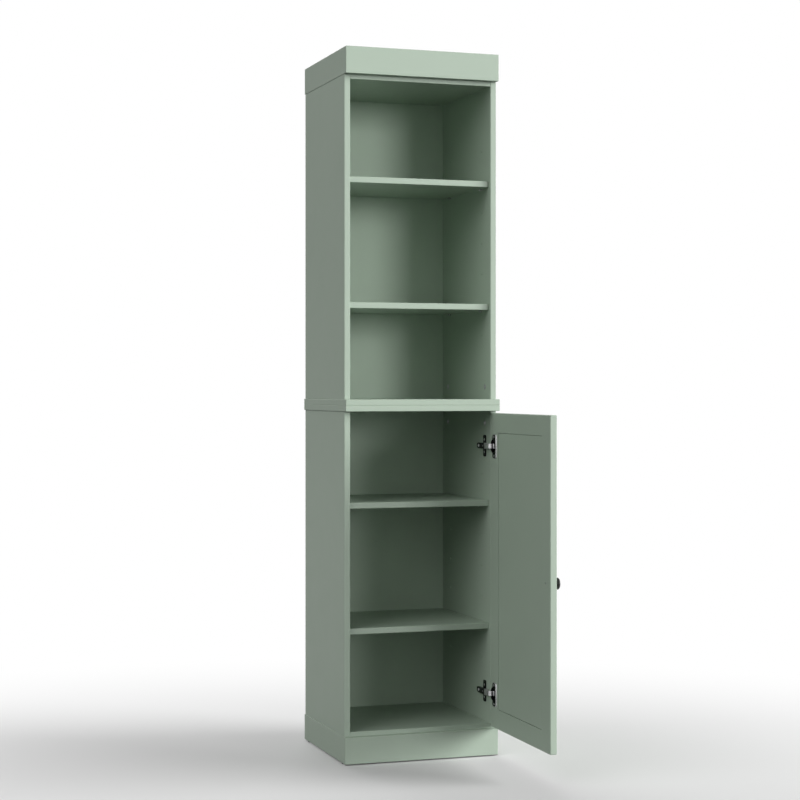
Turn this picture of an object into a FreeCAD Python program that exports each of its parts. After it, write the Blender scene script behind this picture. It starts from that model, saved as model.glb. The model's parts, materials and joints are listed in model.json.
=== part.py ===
import FreeCAD, Part
import math
import os

from FreeCAD import Rotation, Vector

# A tall bathroom cabinet in painted board: an open shelf unit stands on a unit with one
# door. Millimetres, +Z up, the front faces -Y. The origin is on the floor at mid width,
# in the plane of the back that stands against the wall.

# Carcass boards
carcass_width = 408.0
side_depth = 355.0
side_height = 816.0
side_thickness = 15.0
end_panel_thickness = 12.0
waist_thickness = 15.0
waist_front_overhang = 21.0
waist_side_overhang = 2.5
back_thickness = 3.0
back_inset = 1.0
board_edge_bevel = 0.8

# Cornice and plinth, two mitred frames
cornice_height = 68.0
cornice_thickness = 18.0
cornice_front_overhang = 16.5
cornice_side_overhang = 1.0
cornice_top_thickness = 15.0
plinth_height = 67.0
plinth_thickness = 18.0
plinth_front_overhang = 10.8
plinth_side_overhang = 1.5
block_side = 24.0
block_height = 55.0

# Glides under the plinth
glide_height = 3.0
glide_radius = 8.0
glide_nail_radius = 1.2
glide_nail_length = 12.0
glide_end_distance = 32.0

# Shelves, counted from the waist into each unit
shelf_thickness = 15.0
shelf_setback = 13.0
shelf_side_clearance = 0.5
shelf_back_clearance = 1.0
near_shelf_distance = 230.0
far_shelf_distance = 546.5
shelf_pin_radius = 2.5
shelf_pin_reach = 9.0
shelf_pin_hole_depth = 10.0
pin_row_distance = 61.5
pin_hole_pitch = 79.5
pin_hole_centre_distance = 403.5
spare_hole_steps = (-3, -1, 0, 1, 3)

# Cam fittings, dowels and connectors that hold the boards together
cam_radius = 7.5
cam_depth_share = 0.8
cam_end_distance = 32.0
cam_row_distance = 40.0
cam_slot_length = 9.0
cam_slot_width = 1.6
cam_slot_depth = 2.0
bolt_thread_radius = 3.0
bolt_thread_length = 10.0
bolt_neck_radius = 2.0
bolt_neck_length = 8.0
dowel_radius = 4.0
dowel_length = 30.0
dowel_board_share = 0.33
dowel_end_distance = 75.0
connector_inset = 55.0
connector_bolt_radius = 3.0
connector_head_radius = 6.5
connector_head_height = 1.8
connector_sleeve_radius = 4.0
connector_overlap = 16.0

# Wood screws
screw_head_radius = 3.4
screw_head_depth = 2.0
screw_shank_radius = 1.7
screw_point_length = 3.0
screw_recess_length = 3.6
screw_recess_width = 0.8
screw_recess_depth = 1.2
back_screw_length = 16.0
back_screws_per_edge = 2
block_screw_bite = 8.0
plate_screw_length = 13.0
cup_screw_length = 12.0

# Door
door_reveal = 2.0
door_gap = 2.8
door_top_gap = 5.5
door_bottom_gap = 6.0
door_thickness = 17.0
door_edge_bevel = 1.3
door_open_angle = 88.9
stile_width = 55.0
rail_width = 50.0
lip_width = 7.0
lip_thickness = 6.0
panel_gap = 0.9
panel_recess = 0.5
panel_edge_bevel = 0.8
knob_edge_distance = 30.0
knob_head_radius = 14.5
knob_neck_radius = 6.5
knob_base_radius = 9.0
knob_projection = 17.0
knob_head_height = 8.0
knob_crown_share = 0.3
knob_face_share = 0.75
knob_screw_radius = 2.0
knob_screw_head_radius = 3.2
knob_screw_head_height = 2.0
knob_screw_sink = 0.5
knob_screw_bite = 10.0

# Concealed cup hinges
hinge_end_distance = 85.0
cup_radius = 17.5
cup_depth = 11.0
cup_wall = 0.9
cup_edge_distance = 3.0
cup_rim_thickness = 1.4
flange_thickness = 2.2
flange_offset = 10.5
flange_half_width = 13.0
flange_half_length = 31.0
flange_corner_bevel = 4.0
cup_screw_offset = 9.5
cup_screw_half_spacing = 24.0
pivot_edge_distance = 7.3
pivot_depth = 6.5
hinge_pin_radius = 1.25
knuckle_radius = 2.3
knuckle_half_width = 6.0
lug_thickness = 3.2
lug_clearance = 0.3
pin_clearance = 0.08
arm_strip = 2.6
crank_distance = 8.0
arm_front_distance = 8.0
arm_length = 60.0
arm_half_width = 7.5
arm_wall = 1.8
elbow_radius = 9.0
plate_thickness = 2.8
plate_distance = 37.0
plate_half_width = 8.0
plate_half_length = 27.5
plate_corner_bevel = 3.0
plate_screw_half_spacing = 16.0
rail_front_distance = 12.0
rail_length = 58.0
rail_half_width = 5.4
arm_screw_distance = 52.0
arm_screw_radius = 2.4
arm_screw_head_radius = 4.0
arm_screw_head_height = 1.6
adjuster_distance = 24.0
adjuster_radius = 2.6
hinge_clearance = 0.2

# General fits, and the flats on small repeated hardware and on the holes that take it
fit_clearance = 0.1
cut_overrun = 5.0
disc_flat_count = 10
small_flat_count = 8
hidden_flat_count = 6

# Places worked out from those sizes
RIGHT = Vector(1, 0, 0)
BACK = Vector(0, 1, 0)
UP = Vector(0, 0, 1)
half_width = carcass_width / 2
wall_x = half_width - side_thickness
side_middle_x = half_width - side_thickness / 2
inner_back_y = -back_thickness
front_y = inner_back_y - side_depth
lower_bottom = glide_height + plinth_height
lower_top = lower_bottom + side_height
waist_middle = lower_top + waist_thickness
upper_bottom = waist_middle + waist_thickness
upper_top = upper_bottom + side_height
cabinet_top = upper_top + cornice_height
cam_rows = (front_y + cam_row_distance, inner_back_y - cam_row_distance)
pin_rows = (front_y + pin_row_distance, inner_back_y - pin_row_distance)
dowel_rows = (front_y + dowel_end_distance, inner_back_y - dowel_end_distance)
door_edge_x = half_width - door_reveal
door_face_y = front_y - door_gap
door_outer_y = door_face_y - door_thickness
door_bottom = lower_bottom + door_bottom_gap
door_top = lower_top - door_top_gap
pivot = Vector(door_edge_x - pivot_edge_distance, door_face_y - pivot_depth, 0)
cup_x = door_edge_x - cup_edge_distance - cup_radius
hinge_heights = {"top": door_top - hinge_end_distance, "bottom": door_bottom + hinge_end_distance}

pieces = {}


def box(x_range, y_range, z_range):
    """A block between two places on each axis."""
    low = Vector(min(x_range), min(y_range), min(z_range))
    high = Vector(max(x_range), max(y_range), max(z_range))
    size = high - low
    return Part.makeBox(size.x, size.y, size.z, low)


def board(x_range, y_range, z_range, bevel=board_edge_bevel):
    """A painted board with all its edges eased."""
    blank = box(x_range, y_range, z_range)
    return blank.makeChamfer(bevel, blank.Edges)


def rod(radius, start, end):
    """A round bar between two points."""
    along = end - start
    return Part.makeCylinder(radius, along.Length, start, along)


def turned(profile):
    """A turned solid: (radius, height) points from the axis out and back to it, about Z."""
    points = [Vector(radius, 0, height) for radius, height in profile]
    outline = Part.makePolygon(points + points[:1])
    return Part.Face(outline).revolve(Vector(), UP, 360)


def flat_ring(radius, height, flats):
    """A regular outline with a few flats, around the Z axis."""
    turns = [2 * math.pi * index / flats for index in range(flats)]
    points = [Vector(radius * math.cos(turn), radius * math.sin(turn), height) for turn in turns]
    return Part.makePolygon(points + points[:1])


def peg(radius, start, end, flats=small_flat_count):
    """A short bar or a hole for one, with a few flats in place of a round."""
    along = end - start
    blank = Part.Face(flat_ring(radius, 0, flats)).extrude(UP * along.Length)
    return placed(blank, start, along.normalize())


def placed(shape, point, along, across=None):
    """A shape drawn about its own Z axis, set at a point with that axis along a direction."""
    if across is None:
        across = RIGHT if abs(along.x) < abs(along.z) + abs(along.y) else UP
    shape = shape.copy()
    turn = Rotation(across, along.cross(across), along, "ZXY")
    shape.Placement = FreeCAD.Placement(point, turn)
    return shape


def cross_recess(length, width, depth):
    """A cross-shaped driver recess, sunk along +Z from the origin."""
    long_way = box((-length / 2, length / 2), (-width / 2, width / 2), (-cut_overrun, depth))
    cross_way = box((-width / 2, width / 2), (-length / 2, length / 2), (-cut_overrun, depth))
    return long_way.fuse(cross_way)


def wood_screw(length, point, along, flats=small_flat_count):
    """A countersunk screw, its head flush at the point."""
    sections = [(screw_head_radius, 0), (screw_shank_radius, screw_head_depth),
                (screw_shank_radius, length - screw_point_length)]
    rings = [flat_ring(radius, depth, flats) for radius, depth in sections]
    screw = Part.makeLoft(rings + [Part.Vertex(0, 0, length)], True, True)
    return placed(screw, point, along)


def recessed(screw, point, along):
    """A screw with a cross recess sunk in its head."""
    return screw.cut(placed(cross_recess(screw_recess_length, screw_recess_width, screw_recess_depth),
                            point, along))


def wood_screw_hole(length, point, along, flats=small_flat_count):
    """The countersunk hole that takes a wood screw."""
    head = screw_head_radius + fit_clearance
    shank = screw_shank_radius + fit_clearance
    sections = [(head, -cut_overrun), (head, 0), (shank, screw_head_depth), (shank, length + fit_clearance)]
    rings = [flat_ring(radius, depth, flats) for radius, depth in sections]
    return placed(Part.makeLoft(rings, True, True), point, along)


def drill(name, tool):
    """Cut a hole or a pocket in a piece that is already made."""
    pieces[name] = pieces[name].cut(tool)


def gather(name, shape):
    """Add one more like solid to a node that holds several."""
    pieces.setdefault(name, []).append(shape)


def mitred_frame(prefix, outer_x, outer_front, thickness, bottom, top):
    """Four boards on edge around the carcass outline, mitred at the front corners."""
    outline = board((-outer_x, outer_x), (outer_front, 0), (bottom, top))
    inner_x = outer_x - thickness
    inner_front = outer_front + thickness
    lift = UP * (top - bottom)

    def plank(corners):
        points = [Vector(x, y, bottom) for x, y in corners]
        blank = Part.Face(Part.makePolygon(points + points[:1])).extrude(lift)
        return blank.common(outline)

    pieces[prefix + "_front"] = plank([(-outer_x, outer_front), (outer_x, outer_front),
                                       (inner_x, inner_front), (-inner_x, inner_front)])
    for side, sign in (("left", -1), ("right", 1)):
        pieces[prefix + "_" + side] = plank([(sign * outer_x, outer_front), (sign * outer_x, 0),
                                             (sign * inner_x, 0), (sign * inner_x, inner_front)])
    pieces[prefix + "_back"] = plank([(-inner_x, -thickness), (inner_x, -thickness),
                                      (inner_x, 0), (-inner_x, 0)])


def make_cornice():
    """The box that caps the cabinet."""
    outer_x = half_width + cornice_side_overhang
    outer_front = front_y - cornice_front_overhang
    mitred_frame("cornice", outer_x, outer_front, cornice_thickness, upper_top, cabinet_top)
    inner_x = outer_x - cornice_thickness
    pieces["cornice_top"] = board((-inner_x, inner_x),
                                  (outer_front + cornice_thickness, -cornice_thickness),
                                  (cabinet_top - cornice_top_thickness, cabinet_top))


def make_plinth():
    """The box frame that the lower unit stands on, with its corner blocks and glides."""
    outer_x = half_width + plinth_side_overhang
    outer_front = front_y - plinth_front_overhang
    mitred_frame("plinth", outer_x, outer_front, plinth_thickness, glide_height, lower_bottom)
    inner_x = outer_x - plinth_thickness
    block_bottom = lower_bottom - block_height
    screw_length = block_height + block_screw_bite
    block_rows = ((outer_front + plinth_thickness, 1), (-plinth_thickness, -1))
    glide_rows = (("front", outer_front + glide_end_distance), ("back", -glide_end_distance))
    for side, sign in (("left", -1), ("right", 1)):
        for corner_y, inward in block_rows:
            block = box((sign * inner_x, sign * (inner_x - block_side)),
                        (corner_y, corner_y + inward * block_side), (block_bottom, lower_bottom))
            head = Vector(sign * (inner_x - block_side / 2), corner_y + inward * block_side / 2,
                          block_bottom)
            hole = wood_screw_hole(screw_length, head, UP, hidden_flat_count)
            gather("plinth_blocks", block.cut(hole))
            gather("plinth_screws", wood_screw(screw_length, head, UP, hidden_flat_count))
            drill("lower_bottom_panel", hole)
        for row, y in glide_rows:
            foot = Vector(sign * (outer_x - plinth_thickness / 2), y, 0)
            pad = peg(glide_radius, foot, foot + UP * glide_height, disc_flat_count)
            nail_top = foot + UP * (glide_height + glide_nail_length)
            nail = peg(glide_nail_radius, foot + UP * glide_height, nail_top, hidden_flat_count)
            pieces["glide_" + row + "_" + side] = pad.fuse(nail)
            hole_top = nail_top + UP * fit_clearance
            drill("plinth_" + side, peg(glide_nail_radius + fit_clearance, foot, hole_top, hidden_flat_count))


def make_carcass():
    """Sides, end panels, waist boards and backs of the two units, before they are drilled."""
    depth = (front_y, inner_back_y)
    units = (("upper", upper_bottom, upper_top, (upper_bottom, upper_top - back_inset)),
             ("lower", lower_bottom, lower_top, (lower_bottom + back_inset, lower_top)))
    for unit, bottom, top, back_heights in units:
        for side, sign in (("left", -1), ("right", 1)):
            pieces[unit + "_side_" + side] = board((sign * wall_x, sign * half_width), depth, (bottom, top))
        back_x = half_width - back_inset
        pieces[unit + "_back_panel"] = box((-back_x, back_x), (inner_back_y, 0), back_heights)
    across = (-wall_x, wall_x)
    pieces["upper_top_panel"] = board(across, depth, (upper_top - end_panel_thickness, upper_top))
    pieces["lower_bottom_panel"] = board(across, depth, (lower_bottom, lower_bottom + end_panel_thickness))
    waist_x = half_width + waist_side_overhang
    waist_depth = (front_y - waist_front_overhang, 0)
    pieces["waist_board_lower"] = board((-waist_x, waist_x), waist_depth, (lower_top, waist_middle))
    pieces["waist_board_upper"] = board((-waist_x, waist_x), waist_depth, (waist_middle, upper_bottom))


def make_shelves():
    """Two shelves in each unit, their pins, and the rows of holes in the sides."""
    shelf_x = wall_x - shelf_side_clearance
    shelf_y = (front_y + shelf_setback, inner_back_y - shelf_back_clearance)
    for unit, waist, way in (("upper", upper_bottom, 1), ("lower", lower_top, -1)):
        hole_heights = [waist + way * (pin_hole_centre_distance + step * pin_hole_pitch)
                        for step in spare_hole_steps]
        for name, distance in (("near", near_shelf_distance), ("far", far_shelf_distance)):
            underside = waist + way * distance
            if way < 0:
                underside -= shelf_thickness
            shelf = board((-shelf_x, shelf_x), shelf_y, (underside, underside + shelf_thickness))
            pin_height = underside - shelf_pin_radius
            for sign in (-1, 1):
                for y in pin_rows:
                    seat = Vector(sign * wall_x, y, pin_height)
                    reach = RIGHT * shelf_pin_reach
                    gather(unit + "_shelf_pins", peg(shelf_pin_radius, seat - reach, seat + reach))
            hole_heights.append(pin_height)
            pieces[unit + "_shelf_" + name] = shelf
        for side, sign in (("left", -1), ("right", 1)):
            holes = []
            for y in pin_rows:
                for z in hole_heights:
                    mouth = Vector(sign * (wall_x - cut_overrun), y, z)
                    bottom = Vector(sign * (wall_x + shelf_pin_hole_depth), y, z)
                    holes.append(peg(shelf_pin_radius + fit_clearance, mouth, bottom))
            drill(unit + "_side_" + side, holes)


def cam_and_bolt(face, sink, thickness, toward, reach):
    """A cam in a board's face and the bolt that comes to it from the next board.

    face is the cam's centre on the surface, sink points into the board, and toward points
    from the cam to the next board, whose surface is reach away.
    """
    depth = thickness * cam_depth_share
    centre = face + sink * (thickness / 2)
    disc = peg(cam_radius, face, face + sink * depth, disc_flat_count)
    eye_mouth = centre + toward * (cam_radius + cut_overrun)
    eye = peg(bolt_neck_radius + fit_clearance, centre, eye_mouth, hidden_flat_count)
    slot = placed(cross_recess(cam_slot_length, cam_slot_width, cam_slot_depth), face, sink, toward)
    gather("cam_locks", disc.cut([eye, slot]))
    neck_end = centre + toward * bolt_neck_length
    tip = centre + toward * (reach + bolt_thread_length)
    neck = peg(bolt_neck_radius, centre, neck_end, hidden_flat_count)
    gather("cam_bolts", neck.fuse(peg(bolt_thread_radius, neck_end, tip, hidden_flat_count)))
    pocket = peg(cam_radius + fit_clearance, face - sink * cut_overrun,
                 face + sink * (depth + fit_clearance), disc_flat_count)
    tunnel = peg(bolt_thread_radius + fit_clearance, centre, tip + toward * fit_clearance, hidden_flat_count)
    return pocket, tunnel


def make_cam_fittings():
    """Cams that draw the sides to the waist boards."""
    waist_joints = (("upper", "waist_board_upper", upper_bottom, -1),
                    ("lower", "waist_board_lower", lower_top, 1))
    for side, sign in (("left", -1), ("right", 1)):
        for y in cam_rows:
            for unit, waist_board, level, way in waist_joints:
                face = Vector(sign * wall_x, y, level - way * cam_end_distance)
                pocket, tunnel = cam_and_bolt(face, RIGHT * sign, side_thickness, UP * way, cam_end_distance)
                drill(unit + "_side_" + side, [pocket, tunnel])
                drill(waist_board, tunnel)


def dowel(joint, along, first, second):
    """A dowel across the joint between two boards, most of it in the first one."""
    start = joint - along * dowel_length * (1 - dowel_board_share)
    end = joint + along * dowel_length * dowel_board_share
    gather("dowels", peg(dowel_radius, start, end, hidden_flat_count))
    bore = peg(dowel_radius + fit_clearance, start - along * fit_clearance, end + along * fit_clearance,
               hidden_flat_count)
    drill(first, bore)
    drill(second, bore)


def make_dowels():
    """Dowels that line up the sides with the boards above, below and between them."""
    for side, sign in (("left", -1), ("right", 1)):
        for y in dowel_rows:
            foot = Vector(sign * side_middle_x, y, 0)
            dowel(foot + UP * upper_bottom, -UP, "upper_side_" + side, "waist_board_upper")
            dowel(foot + UP * lower_top, UP, "lower_side_" + side, "waist_board_lower")
            dowel(foot + UP * upper_top, UP, "upper_side_" + side, "cornice_" + side)
            dowel(foot + UP * lower_bottom, -UP, "lower_side_" + side, "plinth_" + side)
        edge = Vector(sign * wall_x, (front_y + inner_back_y) / 2, 0)
        dowel(edge + UP * (upper_top - end_panel_thickness / 2), RIGHT * sign, "upper_top_panel",
              "upper_side_" + side)
        dowel(edge + UP * (lower_bottom + end_panel_thickness / 2), RIGHT * sign, "lower_bottom_panel",
              "lower_side_" + side)


def make_unit_connectors():
    """Four two-part connectors that clamp the two waist boards together."""
    barrel = connector_sleeve_radius + fit_clearance
    rim = connector_head_radius + fit_clearance
    sleeve_top = lower_top + waist_thickness + connector_overlap / 2
    bolt_tip = upper_bottom - waist_thickness - connector_overlap / 2
    for sign in (-1, 1):
        for y in (front_y + connector_inset, inner_back_y - connector_inset):
            axis = Vector(sign * (wall_x - connector_inset), y, 0)
            head_seat = upper_bottom - connector_head_height
            head = peg(connector_head_radius, axis + UP * head_seat, axis + UP * upper_bottom,
                       hidden_flat_count)
            shank = peg(connector_bolt_radius, axis + UP * bolt_tip, axis + UP * upper_bottom,
                        hidden_flat_count)
            gather("unit_bolts", head.fuse(shank))
            flange_top = lower_top + connector_head_height
            flange = peg(connector_head_radius, axis + UP * lower_top, axis + UP * flange_top,
                         hidden_flat_count)
            tube = peg(connector_sleeve_radius, axis + UP * lower_top, axis + UP * sleeve_top,
                       hidden_flat_count)
            bore = peg(connector_bolt_radius + fit_clearance, axis + UP * bolt_tip - UP * fit_clearance,
                       axis + UP * (sleeve_top + cut_overrun), hidden_flat_count)
            gather("unit_sleeves", flange.fuse(tube).cut(bore))
            through = peg(barrel, axis + UP * lower_top, axis + UP * upper_bottom, hidden_flat_count)
            upper_rim = peg(rim, axis + UP * head_seat, axis + UP * (upper_bottom + cut_overrun),
                            hidden_flat_count)
            lower_rim = peg(rim, axis + UP * (lower_top - cut_overrun), axis + UP * flange_top,
                            hidden_flat_count)
            drill("waist_board_upper", through.fuse(upper_rim))
            drill("waist_board_lower", through.fuse(lower_rim))


def make_back_screws():
    """Screws along the upright edges of the back panels, into the sides."""
    for unit, bottom in (("upper", upper_bottom), ("lower", lower_bottom)):
        for side, sign in (("left", -1), ("right", 1)):
            for index in range(back_screws_per_edge):
                height_share = (index + 0.5) / back_screws_per_edge
                head = Vector(sign * side_middle_x, 0, bottom + side_height * height_share)
                gather("back_panel_screws", wood_screw(back_screw_length, head, -BACK, hidden_flat_count))
                hole = wood_screw_hole(back_screw_length, head, -BACK, hidden_flat_count)
                drill(unit + "_back_panel", hole)
                drill(unit + "_side_" + side, hole)


def make_door():
    """The door as it hangs closed: two stiles, two rails and the panel let in from inside."""
    outline = board((-door_edge_x, door_edge_x), (door_outer_y, door_face_y), (door_bottom, door_top),
                    door_edge_bevel)
    thick = (door_outer_y, door_face_y)
    lip_depth = (door_outer_y, door_outer_y + lip_thickness)
    stile_x = door_edge_x - stile_width
    rail_z = {"bottom": door_bottom + rail_width, "top": door_top - rail_width}
    lip_z = (rail_z["bottom"] + lip_width, rail_z["top"] - lip_width)
    for name, sign in (("hinge", 1), ("free", -1)):
        plank = box((sign * stile_x, sign * door_edge_x), thick, (door_bottom, door_top))
        lip = box((sign * (stile_x - lip_width), sign * stile_x), lip_depth, lip_z)
        pieces["door_stile_" + name] = plank.fuse(lip).removeSplitter().common(outline)
    for name, edge, way in (("bottom", door_bottom, 1), ("top", door_top, -1)):
        plank = box((-stile_x, stile_x), thick, (edge, rail_z[name]))
        lip = box((-stile_x, stile_x), lip_depth, (rail_z[name], rail_z[name] + way * lip_width))
        pieces["door_rail_" + name] = plank.fuse(lip).removeSplitter().common(outline)
    panel_x = stile_x - panel_gap
    pieces["door_panel"] = board((-panel_x, panel_x),
                                 (door_outer_y + lip_thickness, door_face_y - panel_recess),
                                 (rail_z["bottom"] + panel_gap, rail_z["top"] - panel_gap),
                                 panel_edge_bevel)


def make_knob():
    """A turned knob near the free edge and the screw that holds it from inside."""
    knob_z = (door_bottom + door_top) / 2
    seat = Vector(knob_edge_distance - door_edge_x, door_outer_y, knob_z)
    head_back = knob_projection - knob_head_height
    crown = knob_head_height * knob_crown_share
    profile = [(0, 0), (knob_base_radius, 0), (knob_neck_radius, head_back),
               (knob_head_radius, head_back + crown),
               (knob_head_radius, knob_projection - crown),
               (knob_head_radius * knob_face_share, knob_projection), (0, knob_projection)]
    knob = placed(turned(profile), seat, -BACK)
    head_top = seat + BACK * (door_thickness - knob_screw_sink)
    head = head_top - BACK * knob_screw_head_height
    tip_point = seat - BACK * knob_screw_bite
    bore = peg(knob_screw_radius + fit_clearance, head, tip_point - BACK * fit_clearance)
    pocket = peg(knob_screw_head_radius + fit_clearance, head, head_top + BACK * cut_overrun, disc_flat_count)
    pieces["door_knob"] = knob.cut(bore)
    drill("door_stile_free", [bore, pocket])
    screw = peg(knob_screw_head_radius, head, head_top, disc_flat_count)
    screw = screw.fuse(peg(knob_screw_radius, head, tip_point))
    pieces["knob_screw"] = recessed(screw, head_top, -BACK)


def hinge_cup():
    """A cup hinge's bowl with its pin lugs and screw flange.

    Drawn about the bowl's centre on the door's face: Z into the door, X to the hinge edge.
    """
    floor = cup_depth - cup_wall
    outside = Part.makeCylinder(cup_radius, cup_depth)
    inside = Part.makeCylinder(cup_radius - cup_wall, floor + cut_overrun, UP * -cut_overrun)
    wing = box((-flange_offset - flange_half_width, -flange_offset + flange_half_width),
               (-flange_half_length, flange_half_length), (-flange_thickness, 0))
    upright = [edge for edge in wing.Edges if abs(edge.tangentAt(edge.FirstParameter).z) > 0.5]
    wing = wing.makeChamfer(flange_corner_bevel, upright)
    rim = Part.makeCylinder(cup_radius, cup_rim_thickness, UP * -cup_rim_thickness)
    pin_x = cup_edge_distance + cup_radius - pivot_edge_distance
    lug_inner = knuckle_half_width + lug_clearance
    lug_outer = lug_inner + lug_thickness
    cup = wing.fuse([rim, outside]).cut(inside)
    for sign in (-1, 1):
        lug = box((pin_x - knuckle_radius, pin_x + knuckle_radius), (sign * lug_inner, sign * lug_outer),
                  (pivot_depth - knuckle_radius, floor))
        cup = cup.fuse(lug.common(outside))
    pin_line = Vector(pin_x, 0, pivot_depth)
    pin_ends = (pin_line - BACK * lug_outer, pin_line + BACK * lug_outer)
    cup = cup.cut(peg(hinge_pin_radius + hinge_clearance, *pin_ends))
    for sign in (-1, 1):
        head = Vector(-cup_screw_offset, sign * cup_screw_half_spacing, -flange_thickness)
        cup = cup.cut(wood_screw_hole(cup_screw_length, head, UP))
    return cup.removeSplitter(), rod(hinge_pin_radius, *pin_ends)


def hinge_arm(height):
    """The cranked arm from the pin in the cup back along the wall, a channel over the plate."""
    axis = pivot + UP * height
    crank_x = wall_x - crank_distance
    face_x = crank_x - arm_strip / 2
    root_y = front_y + arm_front_distance
    narrow = (height - knuckle_half_width, height + knuckle_half_width)
    wide = (height - arm_half_width, height + arm_half_width)
    reach = box((face_x, axis.x), (axis.y - arm_strip / 2, axis.y + arm_strip / 2), narrow)
    riser = box((face_x, face_x + arm_strip), (axis.y - arm_strip / 2, root_y + arm_strip), narrow)
    strip = reach.fuse(riser).removeSplitter()
    inner = Vector(face_x + arm_strip, axis.y + arm_strip / 2, height)
    outer = Vector(face_x, axis.y - arm_strip / 2, height)
    for corner, radius in ((inner, elbow_radius - arm_strip), (outer, elbow_radius)):
        elbow = [edge for edge in strip.Edges
                 if abs(edge.tangentAt(edge.FirstParameter).z) > 0.5
                 and edge.CenterOfMass.isEqual(corner, fit_clearance)]
        strip = strip.makeFillet(radius, elbow)
    half_knuckle = UP * knuckle_half_width
    knuckle = rod(knuckle_radius, axis - half_knuckle, axis + half_knuckle)
    channel = box((face_x, wall_x - plate_thickness - hinge_clearance), (root_y, root_y + arm_length), wide)
    hollow_half = arm_half_width - arm_wall
    hollow = box((face_x + arm_wall, wall_x), (root_y + arm_strip, root_y + arm_length + cut_overrun),
                 (height - hollow_half, height + hollow_half))
    arm = strip.fuse([knuckle, channel.cut(hollow)])
    eye = rod(hinge_pin_radius + pin_clearance, axis - UP * arm_half_width, axis + UP * arm_half_width)
    return arm.cut(eye).removeSplitter()


def hinge_plate(height):
    """The cross-shaped plate on the wall, with the rail that carries the arm."""
    plate_y = front_y + plate_distance
    base_x = (wall_x - plate_thickness, wall_x)
    wing = box(base_x, (plate_y - plate_half_width, plate_y + plate_half_width),
               (height - plate_half_length, height + plate_half_length))
    ends = [edge for edge in wing.Edges if abs(edge.tangentAt(edge.FirstParameter).x) > 0.5]
    wing = wing.makeChamfer(plate_corner_bevel, ends)
    rail_front = front_y + arm_front_distance + rail_front_distance
    rail_top = wall_x - crank_distance - arm_strip / 2 + arm_wall
    rail = box((rail_top, wall_x), (rail_front, rail_front + rail_length),
               (height - rail_half_width, height + rail_half_width))
    return wing.fuse(rail).removeSplitter()


def make_hinges():
    """Both hinges: cup and pin on the door, plate and arm on the wall, and their screws."""
    face_x = wall_x - crank_distance - arm_strip / 2
    root_y = front_y + arm_front_distance
    for name, height in hinge_heights.items():
        centre = Vector(cup_x, door_face_y, height)
        cup, pin = hinge_cup()
        pieces["hinge_cup_" + name] = placed(cup, centre, -BACK, RIGHT)
        pieces["hinge_pin_" + name] = placed(pin, centre, -BACK, RIGHT)
        pocket = rod(cup_radius + fit_clearance, centre + BACK * cut_overrun,
                     centre - BACK * (cup_depth + fit_clearance))
        drill("door_stile_hinge", pocket)
        arm = hinge_arm(height)
        plate = hinge_plate(height)
        for sign in (-1, 1):
            head = Vector(cup_x - cup_screw_offset, door_face_y + flange_thickness,
                          height + sign * cup_screw_half_spacing)
            gather("hinge_cup_screws", wood_screw(cup_screw_length, head, -BACK))
            drill("door_stile_hinge", wood_screw_hole(cup_screw_length, head, -BACK))
            head = Vector(wall_x - plate_thickness, front_y + plate_distance,
                          height + sign * plate_screw_half_spacing)
            hole = wood_screw_hole(plate_screw_length, head, RIGHT)
            gather("hinge_plate_screws", wood_screw(plate_screw_length, head, RIGHT))
            plate = plate.cut(hole)
            drill("lower_side_right", hole)
        clamp = Vector(face_x, root_y + arm_screw_distance, height)
        clamp_tip = clamp + RIGHT * (crank_distance + arm_strip / 2 - plate_thickness)
        clamp_head = peg(arm_screw_head_radius, clamp - RIGHT * arm_screw_head_height, clamp)
        adjuster = Vector(face_x, root_y + adjuster_distance, height)
        adjuster_tip = adjuster + RIGHT * (arm_wall * 2)
        for point, tip, radius, top in ((clamp, clamp_tip, arm_screw_radius, clamp_head),
                                        (adjuster, adjuster_tip, adjuster_radius, None)):
            screw = peg(radius, point, tip)
            slot_point = point
            if top is not None:
                screw = screw.fuse(top)
                slot_point = point - RIGHT * arm_screw_head_height
            gather("hinge_arm_screws", recessed(screw, slot_point, RIGHT))
            hole = peg(radius + fit_clearance, point - RIGHT * cut_overrun, tip + RIGHT * fit_clearance)
            arm = arm.cut(hole)
            plate = plate.cut(hole)
        pieces["hinge_arm_" + name] = arm
        pieces["hinge_plate_" + name] = plate


def swing_door_open():
    """Turn everything that hangs on the hinge pins to the open place."""
    hung = ("door_", "knob_screw", "hinge_cup", "hinge_pin")
    for name, shape in pieces.items():
        if name.startswith(hung):
            for solid in shape if isinstance(shape, list) else [shape]:
                solid.rotate(pivot, UP, door_open_angle)


def main():
    make_carcass()
    make_cornice()
    make_plinth()
    make_shelves()
    make_cam_fittings()
    make_dowels()
    make_unit_connectors()
    make_back_screws()
    make_door()
    make_knob()
    make_hinges()
    swing_door_open()
    os.makedirs("parts", exist_ok=True)
    for name, shape in pieces.items():
        solids = shape if isinstance(shape, list) else shape.Solids
        whole = solids[0] if len(solids) == 1 else Part.makeCompound(solids)
        whole.exportStep("parts/" + name + ".step")
        print(name, len(solids), round(sum(solid.Volume for solid in solids)), whole.isValid())


main()
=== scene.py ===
"""Looks for the tall bathroom cabinet: sage paint, nickel hinges with painted shade and painted
highlights, a black knob and small hardware.
"""

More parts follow.
